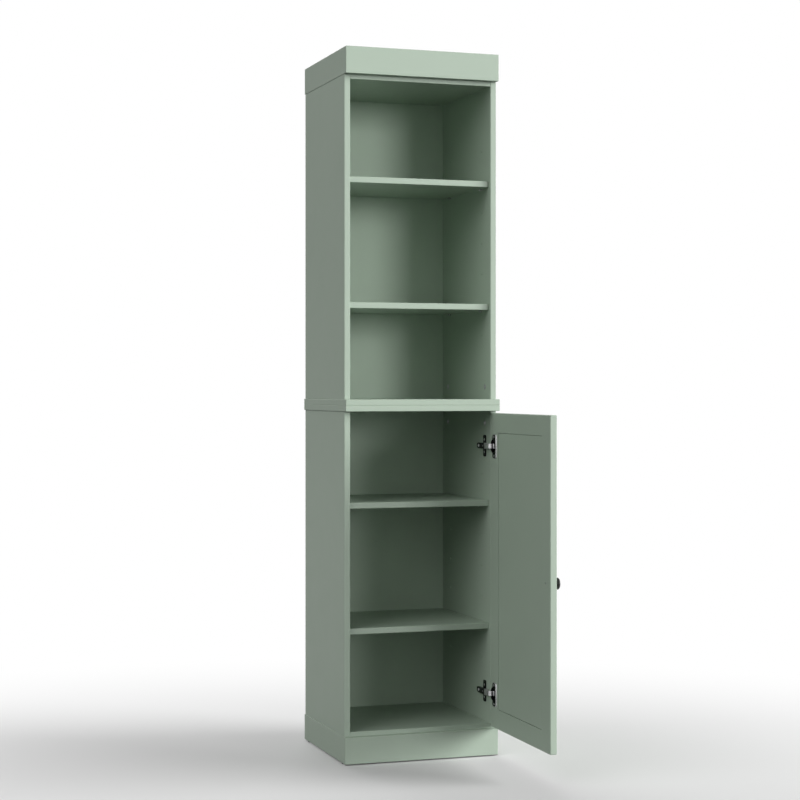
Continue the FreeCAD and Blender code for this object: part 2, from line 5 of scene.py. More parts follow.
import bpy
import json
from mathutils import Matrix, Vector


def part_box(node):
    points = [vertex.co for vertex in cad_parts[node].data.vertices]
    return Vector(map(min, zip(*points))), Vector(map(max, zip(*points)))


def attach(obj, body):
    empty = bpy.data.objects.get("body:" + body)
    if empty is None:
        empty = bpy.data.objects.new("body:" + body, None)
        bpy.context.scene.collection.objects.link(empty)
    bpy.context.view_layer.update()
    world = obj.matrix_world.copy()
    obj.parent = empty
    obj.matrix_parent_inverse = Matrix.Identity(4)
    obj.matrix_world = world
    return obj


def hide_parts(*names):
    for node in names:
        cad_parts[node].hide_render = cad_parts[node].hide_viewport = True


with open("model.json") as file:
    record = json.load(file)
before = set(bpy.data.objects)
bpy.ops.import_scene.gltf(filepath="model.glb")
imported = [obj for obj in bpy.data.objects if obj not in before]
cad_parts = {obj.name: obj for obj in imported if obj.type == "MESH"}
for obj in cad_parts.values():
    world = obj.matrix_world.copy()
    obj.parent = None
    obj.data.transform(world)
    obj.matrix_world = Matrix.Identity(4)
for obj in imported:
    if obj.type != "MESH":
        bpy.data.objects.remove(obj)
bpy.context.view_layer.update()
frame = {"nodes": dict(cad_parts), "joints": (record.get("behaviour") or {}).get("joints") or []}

import json
import math

import bmesh
import bpy
from bpy.props import FloatProperty, FloatVectorProperty, IntProperty, PointerProperty
from mathutils import Matrix, Vector

bl_info = {
    "name": "Tall Bathroom Cabinet",
    "version": (1, 0, 0),
    "blender": (4, 5, 0),
    "location": "View3D > Sidebar > Cabinet",
    "description": "Paints the cabinet, adds its knob, hinges and small hardware, and sets the studio",
    "category": "Object",
}

nodes = frame["nodes"]
hinge_joint = frame["joints"][0]
open_turn = -math.radians(hinge_joint["range_deg"][0])
door_inward = Vector((-math.sin(open_turn), math.cos(open_turn), 0))
door_outward = -door_inward
RIGHT = Vector((1, 0, 0))
BACK = Vector((0, 1, 0))
UP = Vector((0, 0, 1))

knob_low, knob_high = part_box("door_knob")

door_boards = ("door_stile_hinge", "door_stile_free", "door_rail_bottom", "door_rail_top", "door_panel")
back_boards = ("upper_back_panel", "lower_back_panel")
four_sides = ("front", "left", "right", "back")
frame_boards = tuple(name + side for name in ("cornice_", "plinth_") for side in four_sides)
unit_boards = tuple(unit + name for unit in ("upper_", "lower_")
                    for name in ("side_left", "side_right", "shelf_near", "shelf_far"))
carcass_boards = frame_boards + unit_boards + (
    "cornice_top", "upper_top_panel", "lower_bottom_panel", "waist_board_upper", "waist_board_lower")

# Gaps across which corners are joined or count as level
seam_gap = 1e-6
same_place = 1e-5
weld_reach = same_place * 2

# Bends that count as flat, that shade sharp and that are rounded
flat_bend = math.radians(1)
sharp_bend = math.radians(38)
rounded_bend = math.radians(40)
rounded_steps = 3
flange_steps = 4

# The range in which most values of a noise lie
noise_low = 0.3
noise_high = 0.7

# Heights of the fine grain on metal and on raw wood
metal_grain_depth = 0.00002
wood_grain_depth = 0.0001

# Cross recesses of the fasteners as length, width and depth
screw_recess = (0.0038, 0.0009, 0.0013)
waist_bolt_recess = (0.0062, 0.0014, 0.0012)
knob_bolt_recess = (0.0036, 0.0009, 0.0013)
arm_screw_recess = (0.0034, 0.0009, 0.0011)

# Places of the colour sockets on a mix node
mix_inputs = (0, 6, 7)
mix_output = 2


class CabinetPaintSettings(bpy.types.PropertyGroup):
    """The satin paint on every board."""

    color: FloatVectorProperty(
        name="Paint", description="Sage green of the boards", subtype="COLOR", size=3, min=0, max=1,
        default=(0.360, 0.440, 0.360))
    roughness: FloatProperty(
        name="Roughness", description="How dull the satin is", subtype="FACTOR", min=0, max=1,
        default=0.46)
    tone_share: FloatProperty(
        name="Tone spread", description="How much the tone drifts across a board", subtype="FACTOR",
        min=0, max=1, default=0.025)
    stipple_size: FloatProperty(
        name="Stipple", description="Size of the sprayed grain", unit="LENGTH", min=0.0001,
        default=0.0011)
    stipple_depth: FloatProperty(
        name="Stipple depth", description="Height of the sprayed grain", unit="LENGTH", min=0,
        default=0.00006)


class CabinetHardwareSettings(bpy.types.PropertyGroup):
    """Metals, plastics and the sizes of the small turned pieces."""

    knob_color: FloatVectorProperty(
        name="Knob", description="Black of the knob", subtype="COLOR", size=3, min=0, max=1,
        default=(0.010, 0.010, 0.011))
    # Painted shade: a dark copy of the hinge nickel on cups, plates and the backs of the arms, standing in
    # for the shaded cabinet inside that the nickel reflects
    shaded_nickel_color: FloatVectorProperty(
        name="Shaded nickel", description="Black nickel on cups and plates", subtype="COLOR", size=3,
        min=0, max=1, default=(0.035, 0.035, 0.038))
    # Painted highlight: a bright copy of the same nickel on the fronts of the arms and the flange edges
    highlit_nickel_color: FloatVectorProperty(
        name="Highlit nickel", description="Nickel on the hinge arms and flange edges", subtype="COLOR",
        size=3, min=0, max=1, default=(0.70, 0.70, 0.71))
    zinc_color: FloatVectorProperty(
        name="Zinc", description="Zinc on screws, cams and bolts", subtype="COLOR", size=3, min=0, max=1,
        default=(0.50, 0.51, 0.52))
    wood_color: FloatVectorProperty(
        name="Raw wood", description="Dowels and corner blocks", subtype="COLOR", size=3, min=0, max=1,
        default=(0.55, 0.38, 0.21))
    glide_color: FloatVectorProperty(
        name="Glides", description="Plastic under the plinth", subtype="COLOR", size=3, min=0, max=1,
        default=(0.030, 0.030, 0.030))
    knob_radius: FloatProperty(
        name="Knob radius", description="Radius of the knob's head", unit="LENGTH", min=0.001,
        default=(knob_high.z - knob_low.z) / 2)
    knob_projection: FloatProperty(
        name="Knob projection", description="How far the knob stands off the door", unit="LENGTH",
        min=0.001, default=0.017)
    screw_head: FloatProperty(
        name="Screw head", description="Radius of a countersunk head", unit="LENGTH", min=0.001,
        default=0.0034)
    screw_shank: FloatProperty(
        name="Screw shank", description="Radius of a countersunk screw's shank", unit="LENGTH",
        min=0.0005, default=0.0017)
    bolt_head: FloatProperty(
        name="Waist bolt head", description="Radius of the heads at the waist", unit="LENGTH", min=0.001,
        default=0.0064)
    bolt_shank: FloatProperty(
        name="Waist bolt shank", description="Radius of the bolts at the waist", unit="LENGTH", min=0.0005,
        default=0.003)
    glide_pad: FloatProperty(
        name="Glide pad", description="Thickness of a glide's foot", unit="LENGTH", min=0.001,
        default=0.003)
    glide_nail: FloatProperty(
        name="Glide nail", description="Radius of a glide's nail", unit="LENGTH", min=0.0005,
        default=0.0012)
    glide_edge: FloatProperty(
        name="Glide edge", description="Rounding of a glide's foot", unit="LENGTH", min=0, default=0.001)
    metal_edge: FloatProperty(
        name="Metal edge", description="Rounding on the pressed hinge pieces", unit="LENGTH", min=0,
        default=0.0005)
    flange_edge: FloatProperty(
        name="Flange edge", description="Rounding of the cup flanges' outline", unit="LENGTH", min=0,
        default=0.0019)
    # The front share of each arm takes the painted highlight, the rest the painted shade
    highlight_share: FloatProperty(
        name="Highlight share", description="Share of each hinge arm that is bright, from its front end",
        subtype="FACTOR", min=0, max=1, default=0.42)
    facets: IntProperty(
        name="Facets", description="Facets around a turned piece", min=12, max=128, default=48)


class CabinetStageSettings(bpy.types.PropertyGroup):
    """Floor, light and camera."""

    floor_color: FloatVectorProperty(
        name="Floor", description="Pale floor", subtype="COLOR", size=3, min=0, max=1,
        default=(0.70, 0.70, 0.70))
    bounce_color: FloatVectorProperty(
        name="Floor bounce", description="How much light the floor throws back", subtype="COLOR", size=3,
        min=0, max=1, default=(0.06, 0.06, 0.06))
    floor_half: FloatProperty(
        name="Floor reach", description="Half the floor's width", unit="LENGTH", min=1, default=60)
    fade_middle: FloatVectorProperty(
        name="Fade middle", description="Where on the floor the fade is centred", subtype="XYZ",
        unit="LENGTH", size=2, default=(-0.35, -0.95))
    fade_start: FloatProperty(
        name="Fade start", description="Where the floor starts to fade to white", unit="LENGTH", min=0,
        default=0.45)
    fade_end: FloatProperty(
        name="Fade end", description="Where the floor is white", unit="LENGTH", min=0, default=2.55)
    fill: FloatProperty(
        name="Fill", description="Strength of the even light from all around", min=0, default=0.12)
    gloss_level: FloatProperty(
        name="Gloss level", description="How bright the studio is in reflections", min=0, default=0.45)
    key_strength: FloatProperty(
        name="Key strength", description="Strength of the main lamp at the right", min=0, default=4.1)
    front_strength: FloatProperty(
        name="Front strength", description="Strength of the low lamp in front", min=0, default=0.25)
    window_strength: FloatProperty(
        name="Window strength", description="Strength of the narrow lamp that looks into the shelves",
        min=0, default=1.0)
    back_strength: FloatProperty(
        name="Back strength", description="Strength of the soft lamp behind", min=0, default=1.0)
    side_strength: FloatProperty(
        name="Side strength", description="Strength of the soft lamp at the left", min=0, default=1.37)
    lens: FloatProperty(
        name="Lens", description="Focal length in millimetres", min=1, default=84.65)
    view_turn: FloatProperty(
        name="View turn", description="Turn of the camera to the right", subtype="ANGLE",
        default=math.radians(18.82))
    view_point: FloatVectorProperty(
        name="View point", description="Place of the camera", subtype="XYZ", unit="LENGTH", size=3,
        default=(-1.5919, -4.8618, 0.9462))
    view_shift: FloatProperty(
        name="View shift", description="Vertical shift of the picture", default=-0.0157)


def connect(tree, socket, value):
    """Set an input from another node's output or from a plain value."""
    if isinstance(value, bpy.types.NodeSocket):
        tree.links.new(value, socket)
    else:
        socket.default_value = value


def new_node(tree, kind, **inputs):
    """A shader node with values or links set on its named inputs."""
    node = tree.nodes.new(kind)
    for name, value in inputs.items():
        connect(tree, node.inputs[name.replace("_", " ")], value)
    return node


def math_node(tree, operation, *values):
    """A number worked out by one math node."""
    node = tree.nodes.new("ShaderNodeMath")
    node.operation = operation
    for socket, value in zip(node.inputs, values):
        connect(tree, socket, value)
    return node.outputs[0]


def remapped(tree, value, low, high):
    """A noise value stretched over a range."""
    node = new_node(tree, "ShaderNodeMapRange", Value=value, From_Min=noise_low, From_Max=noise_high,
                    To_Min=low, To_Max=high)
    return node.outputs["Result"]


def varied(tree, value, share):
    """A factor that follows a noise value, up and down from 1 by a share."""
    low = math_node(tree, "SUBTRACT", 1.0, share)
    high = math_node(tree, "ADD", 1.0, share)
    return remapped(tree, value, low, high)


def scaled_color(tree, color, factor):
    """A colour times a number."""
    node = tree.nodes.new("ShaderNodeVectorMath")
    node.operation = "SCALE"
    connect(tree, node.inputs[0], color)
    connect(tree, node.inputs["Scale"], factor)
    return node.outputs[0]


def noise(tree, vector, scale, detail, roughness=0.5):
    """A noise value between 0 and 1."""
    node = new_node(tree, "ShaderNodeTexNoise", Vector=vector, Scale=scale, Detail=detail,
                    Roughness=roughness)
    return node.outputs["Fac"]


def stretched(tree, vector, scale):
    """A place with its axes scaled, so that a noise on it runs in streaks."""
    return new_node(tree, "ShaderNodeMapping", Vector=vector, Scale=scale).outputs["Vector"]


FLOAT = "NodeSocketFloat"
COLOR = "NodeSocketColor"
surface_outputs = (("Color", COLOR), ("Roughness", FLOAT), ("Height", FLOAT))


def new_surface_group(name, *values):
    """A node group for a surface, with its colour and other inputs, and the place on the piece."""
    group = bpy.data.node_groups.new(name, "ShaderNodeTree")
    group.interface.new_socket("Color", in_out="INPUT", socket_type=COLOR)
    for label in values:
        group.interface.new_socket(label, in_out="INPUT", socket_type=FLOAT)
    for label, kind in surface_outputs:
        group.interface.new_socket(label, in_out="OUTPUT", socket_type=kind)
    given = group.nodes.new("NodeGroupInput").outputs
    out = group.nodes.new("NodeGroupOutput").inputs
    place = group.nodes.new("ShaderNodeTexCoord").outputs["Object"]
    return group, given, out, place


def sprayed_paint_group():
    """Sprayed satin paint on board: a slow drift of tone, uneven sheen and a fine stipple."""
    name = "Sprayed Paint"
    if name in bpy.data.node_groups:
        return bpy.data.node_groups[name]
    group, given, out, place = new_surface_group(name, "Tone Spread", "Roughness", "Stipple Scale")
    drift_share = 0.65
    cloud_share = 0.35
    cloud_height = 0.8
    sheen_share = 0.07
    drift = noise(group, place, scale=3.1, detail=3.0)
    cloud = noise(group, place, scale=23.0, detail=4.0)
    fine = noise(group, place, given["Stipple Scale"], detail=2.0, roughness=0.6)
    slow = math_node(group, "MULTIPLY", drift, drift_share)
    tone = math_node(group, "ADD", slow, math_node(group, "MULTIPLY", cloud, cloud_share))
    color = scaled_color(group, given["Color"], varied(group, tone, given["Tone Spread"]))
    sheen = varied(group, cloud, sheen_share)
    group.links.new(color, out["Color"])
    group.links.new(math_node(group, "MULTIPLY", given["Roughness"], sheen), out["Roughness"])
    swell = math_node(group, "MULTIPLY", cloud, cloud_height)
    group.links.new(math_node(group, "ADD", fine, swell), out["Height"])
    return group


def plated_metal_group():
    """Plated or coated metal: faint mottling and fine drawn lines."""
    name = "Plated Metal"
    if name in bpy.data.node_groups:
        return bpy.data.node_groups[name]
    group, given, out, place = new_surface_group(name, "Roughness", "Grain Scale", "Mottle")
    drawn_stretch = (1.0, 1.0, 0.12)
    drawn_share = 0.15
    mottle_share = 0.1
    along = stretched(group, place, drawn_stretch)
    drawn = noise(group, along, given["Grain Scale"], detail=3.0, roughness=0.6)
    mottle = noise(group, place, scale=160.0, detail=3.0)
    color = scaled_color(group, given["Color"], varied(group, mottle, given["Mottle"]))
    lines = varied(group, drawn, drawn_share)
    uneven = math_node(group, "MULTIPLY", lines, varied(group, mottle, mottle_share))
    group.links.new(color, out["Color"])
    group.links.new(math_node(group, "MULTIPLY", given["Roughness"], uneven), out["Roughness"])
    group.links.new(drawn, out["Height"])
    return group


def wood_grain_group():
    """Plain sawn wood: long streaks along the grain and darker pores."""
    name = "Sawn Wood"
    if name in bpy.data.node_groups:
        return bpy.data.node_groups[name]
    group, given, out, place = new_surface_group(name, "Roughness", "Grain Scale")
    grain_stretch = (1.0, 1.0, 0.08)
    pore_fineness = 6.0
    dull_share = 0.08
    along = stretched(group, place, grain_stretch)
    streak = noise(group, along, given["Grain Scale"], detail=5.0, roughness=0.65)
    pore_scale = math_node(group, "MULTIPLY", given["Grain Scale"], pore_fineness)
    pore = noise(group, along, pore_scale, detail=2.0)
    streak_tone = remapped(group, streak, low=0.72, high=1.12)
    pore_tone = remapped(group, pore, low=0.94, high=1.04)
    tone = math_node(group, "MULTIPLY", streak_tone, pore_tone)
    dull = varied(group, pore, dull_share)
    group.links.new(scaled_color(group, given["Color"], tone), out["Color"])
    group.links.new(math_node(group, "MULTIPLY", given["Roughness"], dull), out["Roughness"])
    group.links.new(math_node(group, "ADD", streak, pore), out["Height"])
    return group


def new_material(name, group, bump_distance, metallic=0.0, coat=0.0, specular=0.5, **values):
    """A material whose colour, roughness and bump come from one surface group."""
    if name in bpy.data.materials:
        return bpy.data.materials[name]
    material = bpy.data.materials.new(name)
    material.use_nodes = True
    tree = material.node_tree
    shader = tree.nodes["Principled BSDF"]
    surface = tree.nodes.new("ShaderNodeGroup")
    surface.node_tree = group
    for label, value in values.items():
        connect(tree, surface.inputs[label.replace("_", " ")], value)
    bump = new_node(tree, "ShaderNodeBump", Height=surface.outputs["Height"], Distance=bump_distance)
    tree.links.new(surface.outputs["Color"], shader.inputs["Base Color"])
    tree.links.new(surface.outputs["Roughness"], shader.inputs["Roughness"])
    tree.links.new(bump.outputs["Normal"], shader.inputs["Normal"])
    shader.inputs["Metallic"].default_value = metallic
    shader.inputs["Coat Weight"].default_value = coat
    shader.inputs["Specular IOR Level"].default_value = specular
    return material


def paint_material(name, paint, tone=1.0, roughness_shift=0.0):
    """One of the sage paints: the door's is a little glossier, the backs' is paler and duller."""
    color = [channel * tone for channel in paint.color]
    return new_material(
        name, sprayed_paint_group(), paint.stipple_depth, specular=0.3, Color=(*color, 1),
        Tone_Spread=paint.tone_share, Roughness=paint.roughness + roughness_shift,
        Stipple_Scale=1 / paint.stipple_size)


def metal_material(name, color, roughness, grain_scale, metallic=1.0, mottle=0.06, coat=0.0):
    """One of the plated or coated metals and moulded plastics."""
    return new_material(
        name, plated_metal_group(), metal_grain_depth, metallic, coat, Color=(*color, 1),
        Roughness=roughness, Grain_Scale=grain_scale, Mottle=mottle)


def zinc(hardware):
    """The zinc on screws, cams, bolts and pins."""
    return metal_material("Zinc plating", hardware.zinc_color, roughness=0.38, grain_scale=900)


def dress(names, material):
    """Give CAD nodes their finish."""
    for name in names:
        slots = nodes[name].data.materials
        slots.clear()
        slots.append(material)


def islands(name):
    """Lowest and highest corner of each loose solid in a CAD node."""
    solid = bmesh.new()
    solid.from_mesh(nodes[name].data)
    bmesh.ops.remove_doubles(solid, verts=solid.verts, dist=seam_gap)
    waiting = set(solid.verts)
    found = []
    while waiting:
        reached = [waiting.pop()]
        for vert in reached:
            for edge in vert.link_edges:
                other = edge.other_vert(vert)
                if other in waiting:
                    waiting.remove(other)
                    reached.append(other)
        low = Vector([min(vert.co[axis] for vert in reached) for axis in range(3)])
        high = Vector([max(vert.co[axis] for vert in reached) for axis in range(3)])
        found.append((low, high))
    solid.free()
    return sorted(found, key=lambda corners: tuple(corners[0]))


def facing(outward):
    """The turn that points a piece's own height outward."""
    return outward.to_track_quat("Z", "Y").to_matrix().to_4x4()


def seat_on(low, high, outward):
    """The place of a turned piece whose outer end faces outward, and its length."""
    size = high - low
    length = sum(abs(size[axis] * outward[axis]) for axis in range(3))
    end = (low + high) / 2 + outward * length / 2
    return Matrix.Translation(end) @ facing(outward), length


def sink_cross(mesh, rim, place, top, recess):
    """A flat face inside a rim, with a tapered cross recess in it."""
    length, width, depth = recess
    arm = length / 2
    half = width / 2
    taper_x = 0.7
    taper_y = 0.8
    outline = ((arm, half), (half, half), (half, arm), (-half, arm), (-half, half), (-arm, half),
               (-arm, -half), (-half, -half), (-half, -arm), (half, -arm), (half, -half), (arm, -half))
    upper = [mesh.verts.new(place @ Vector((x, y, top))) for x, y in outline]
    lower = [mesh.verts.new(place @ Vector((x * taper_x, y * taper_y, top - depth))) for x, y in outline]
    rim_edges = [mesh.edges.get((rim[index - 1], rim[index])) for index in range(len(rim))]
    cross_edges = [mesh.edges.new((upper[index - 1], upper[index])) for index in range(len(upper))]
    bmesh.ops.triangle_fill(mesh, use_beauty=True, use_dissolve=False, edges=rim_edges + cross_edges)
    for index in range(len(upper)):
        mesh.faces.new((upper[index - 1], upper[index], lower[index], lower[index - 1]))
    mesh.faces.new(lower)


def turn(mesh, profile, place, facets, recess=None):
    """A turned solid: (radius, height) from the outer face down, with a cross recess there if asked."""
    rings = []
    for radius, height in dict.fromkeys(profile):
        count = facets if radius > 0 else 1
        angles = [2 * math.pi * index / facets for index in range(count)]
        points = [Vector((radius * math.cos(angle), radius * math.sin(angle), height)) for angle in angles]
        rings.append([mesh.verts.new(place @ point) for point in points])
    for upper, lower in zip(rings, rings[1:]):
        for index in range(facets):
            around = ((upper, index - 1), (upper, index), (lower, index), (lower, index - 1))
            corners = [ring[spot % len(ring)] for ring, spot in around]
            mesh.faces.new(dict.fromkeys(corners))
    if len(rings[-1]) > 1:
        mesh.faces.new(rings[-1])
    if recess:
        sink_cross(mesh, rings[0], place, profile[0][1], recess)
    elif len(rings[0]) > 1:
        mesh.faces.new(rings[0])


def finish_piece(name, mesh, body, material, slot, *replaced):
    """Make the object, shade it smooth between its sharp edges, and set it on its body."""
    bmesh.ops.recalc_face_normals(mesh, faces=mesh.faces)
    data = bpy.data.meshes.new(name)
    mesh.to_mesh(data)
    mesh.free()
    data.shade_smooth()
    data.set_sharp_from_angle(angle=sharp_bend)
    data.materials.append(material)
    piece = bpy.data.objects.new(name, data)
    bpy.context.scene.collection.objects.link(piece)
    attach(piece, body)
    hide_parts(*replaced)
    return piece


def countersunk_screws(name, source, outward, body, hardware, material):
    """Cross-head countersunk screws, each from its head down to its point, in place of plain ones."""
    head = hardware.screw_head
    shank = hardware.screw_shank
    edge = head * 0.06
    neck = shank * 1.1
    cone_end = (head - shank) * 1.1
    neck_end = (head - shank) * 1.4
    mesh = bmesh.new()
    for low, high in islands(source):
        place, length = seat_on(low, high, outward)
        thread_end = length * 0.8
        profile = ((head - edge, 0), (head, -edge), (head, -edge * 2), (neck, -cone_end),
                   (shank, -neck_end), (shank, -thread_end), (0, -length))
        turn(mesh, profile, place, hardware.facets // 2, screw_recess)
    finish_piece(name, mesh, body, material, "plated_steel", source)


class CABINET_OT_paint_boards(bpy.types.Operator):
    """Spray the satin sage paint on every board of the carcass and the door"""

    bl_idname = "cabinet.paint_boards"
    bl_label = "Paint Boards"

    def execute(self, context):
        paint = context.scene.cabinet_paint
        dress(carcass_boards, paint_material("Sage paint on carcass", paint))
        dress(door_boards, paint_material("Sage paint on door", paint, tone=1.01, roughness_shift=-0.02))
        dress(back_boards, paint_material("Sage paint on backs", paint, tone=1.3, roughness_shift=0.04))
        return {"FINISHED"}


class CABINET_OT_dress_joinery(bpy.types.Operator):
    """Finish the dowels, corner blocks, bolts and sleeves that sit in the boards"""

    bl_idname = "cabinet.dress_joinery"
    bl_label = "Dress Joinery"

    def execute(self, context):
        hardware = context.scene.cabinet_hardware
        wood = new_material("Raw wood", wood_grain_group(), wood_grain_depth,
                            Color=(*hardware.wood_color, 1), Roughness=0.7, Grain_Scale=180)
        dress(("dowels", "plinth_blocks"), wood)
        dress(("cam_bolts", "unit_sleeves"), zinc(hardware))
        return {"FINISHED"}


class CABINET_OT_seat_cams(bpy.types.Operator):
    """Turn the cam discs in the sides, each with a ring groove and a cross slot"""

    bl_idname = "cabinet.seat_cams"
    bl_label = "Seat Cams"

    # Shares of the radius, and of the groove's depth, from inside the groove to the rim
    ring_shares = ((0.7, 0), (0.72, 1), (0.8, 1), (0.82, 0), (0.95, 0), (1, 1))
    groove_share = 0.04
    slot_shares = (1.2, 0.21, 0.27)

    def execute(self, context):
        hardware = context.scene.cabinet_hardware
        mesh = bmesh.new()
        for low, high in islands("cam_locks"):
            outward = -RIGHT if low.x > 0 else RIGHT
            place, length = seat_on(low, high, outward)
            radius = (high.y - low.y) / 2
            groove = radius * self.groove_share
            profile = [(radius * wide, -groove * deep) for wide, deep in self.ring_shares]
            profile.append((radius, -length))
            recess = [radius * share for share in self.slot_shares]
            turn(mesh, profile, place, hardware.facets, recess)
        finish_piece("cam_discs", mesh, "carcass", zinc(hardware), "plated_steel", "cam_locks")
        return {"FINISHED"}


class CABINET_OT_seat_shelf_pins(bpy.types.Operator):
    """Turn the nickel pins under the shelves, round at both ends with a groove at the wall"""

    bl_idname = "cabinet.seat_shelf_pins"
    bl_label = "Seat Shelf Pins"

    # Shares of the length where the groove begins, is deepest and ends
    groove_shares = (0.46, 0.48, 0.5, 0.52)
    ease_share = 0.2

    def execute(self, context):
        hardware = context.scene.cabinet_hardware
        nickel = metal_material("Nickel pins", hardware.zinc_color, roughness=0.26, grain_scale=1100)
        for unit in ("upper", "lower"):
            source = unit + "_shelf_pins"
            mesh = bmesh.new()
            for low, high in islands(source):
                outward = -RIGHT if low.x > 0 else RIGHT
                place, length = seat_on(low, high, outward)
                radius = (high.z - low.z) / 2
                ease = radius * self.ease_share
                nose = ease * 2
                bend = ease * 0.6
                neck = radius - ease
                begin, deep, rise, end = [-length * share for share in self.groove_shares]
                profile = ((radius - nose, 0), (radius - bend, -bend), (radius, -nose), (radius, begin),
                           (neck, deep), (neck, rise), (radius, end), (radius, ease - length),
                           (neck, -length))
                turn(mesh, profile, place, hardware.facets // 2)
            finish_piece(unit + "_pins", mesh, "carcass", nickel, "shelf_pin_steel", source)
        return {"FINISHED"}


class CABINET_OT_drive_screws(bpy.types.Operator):
    """Drive the cross-head screws of hinges, backs and plinth, and the bolts between the units"""

    bl_idname = "cabinet.drive_screws"
    bl_label = "Drive Screws"

    # A waist bolt's flat top as a share of its head, and how far down its edge, rim and neck end
    top_share = 0.85
    edge_end = 0.0003
    rim_end = 0.0016
    neck_end = 0.0018

    def execute(self, context):
        hardware = context.scene.cabinet_hardware
        plated = zinc(hardware)
        countersunk_screws("back_screws", "back_panel_screws", BACK, "carcass", hardware, plated)
        countersunk_screws("block_screws", "plinth_screws", -UP, "carcass", hardware, plated)
        countersunk_screws("plate_screws", "hinge_plate_screws", -RIGHT, "carcass", hardware, plated)
        countersunk_screws("cup_screws", "hinge_cup_screws", door_inward, "door", hardware, plated)
        head = hardware.bolt_head
        shank = hardware.bolt_shank
        mesh = bmesh.new()
        for low, high in islands("unit_bolts"):
            place, length = seat_on(low, high, UP)
            profile = ((head * self.top_share, 0), (head, -self.edge_end), (head, -self.rim_end),
                       (shank, -self.neck_end), (shank, -length))
            turn(mesh, profile, place, hardware.facets, waist_bolt_recess)
        finish_piece("waist_bolts", mesh, "carcass", plated, "plated_steel", "unit_bolts")
        return {"FINISHED"}


class CABINET_OT_seat_glides(bpy.types.Operator):
    """Mould the four round glides under the plinth"""

    bl_idname = "cabinet.seat_glides"
    bl_label = "Seat Glides"

    def execute(self, context):
        hardware = context.scene.cabinet_hardware
        plastic = metal_material("Glide plastic", hardware.glide_color, roughness=0.55, grain_scale=700,
                                 metallic=0.0)
        pad = hardware.glide_pad
        nail = hardware.glide_nail
        ease = hardware.glide_edge
        bend = ease * 0.3
        for corner in ("front_left", "back_left", "front_right", "back_right"):
            source = "glide_" + corner
            low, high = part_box(source)
            radius = (high.x - low.x) / 2
            place, length = seat_on(low, high, -UP)
            nail_end = length * 0.85
            profile = ((radius - ease, 0), (radius - bend, -bend), (radius, -ease), (radius, -pad),
                       (nail, -pad), (nail, -nail_end), (0, -length))
            mesh = bmesh.new()
            turn(mesh, profile, place, hardware.facets)
            finish_piece("foot_" + corner, mesh, "carcass", plastic, "glide_plastic", source)
        return {"FINISHED"}


class CABINET_OT_turn_knob(bpy.types.Operator):
    """Turn the black knob with its waisted neck, and the screw that holds it from inside"""

    bl_idname = "cabinet.turn_knob"
    bl_label = "Turn Knob"

    # Shares of the knob's radius and of its projection, from its face to its seat
    knob_shares = (
        (0, 1), (0.42, 0.996), (0.72, 0.975), (0.88, 0.93), (0.97, 0.86), (1, 0.79),
        (0.985, 0.72), (0.91, 0.66), (0.77, 0.6), (0.62, 0.55), (0.51, 0.49), (0.455, 0.41),
        (0.44, 0.32), (0.46, 0.22), (0.52, 0.13), (0.58, 0.08), (0.62, 0.05), (0.62, 0))

    # The screw's top and shoulder as shares of its head, how far down its shoulder, edge and head end
    top_share = 0.75
    shoulder_share = 0.95
    shoulder_end = 0.0003
    edge_end = 0.0008
    head_end = 0.002
    shank = 0.002

    def execute(self, context):
        hardware = context.scene.cabinet_hardware
        radius = hardware.knob_radius
        reach = hardware.knob_projection
        seat = (knob_low + knob_high) / 2 - door_outward * reach / 2
        place = Matrix.Translation(seat) @ facing(door_outward)
        profile = [(radius * wide, reach * high) for wide, high in self.knob_shares]
        mesh = bmesh.new()
        turn(mesh, profile, place, hardware.facets)
        black = metal_material("Black knob", hardware.knob_color, roughness=0.3, grain_scale=1600,
                               metallic=0.0, mottle=0.12, coat=0.25)
        finish_piece("knob", mesh, "door", black, "black_knob", "door_knob")
        low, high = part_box("knob_screw")
        place, length = seat_on(low, high, door_inward)
        head = (high.z - low.z) / 2
        profile = ((head * self.top_share, 0), (head * self.shoulder_share, -self.shoulder_end),
                   (head, -self.edge_end), (head, -self.head_end), (self.shank, -self.head_end),
                   (self.shank, -length))
        mesh = bmesh.new()
        turn(mesh, profile, place, hardware.facets, knob_bolt_recess)
        finish_piece("knob_bolt", mesh, "door", zinc(hardware), "plated_steel", "knob_screw")
        return {"FINISHED"}


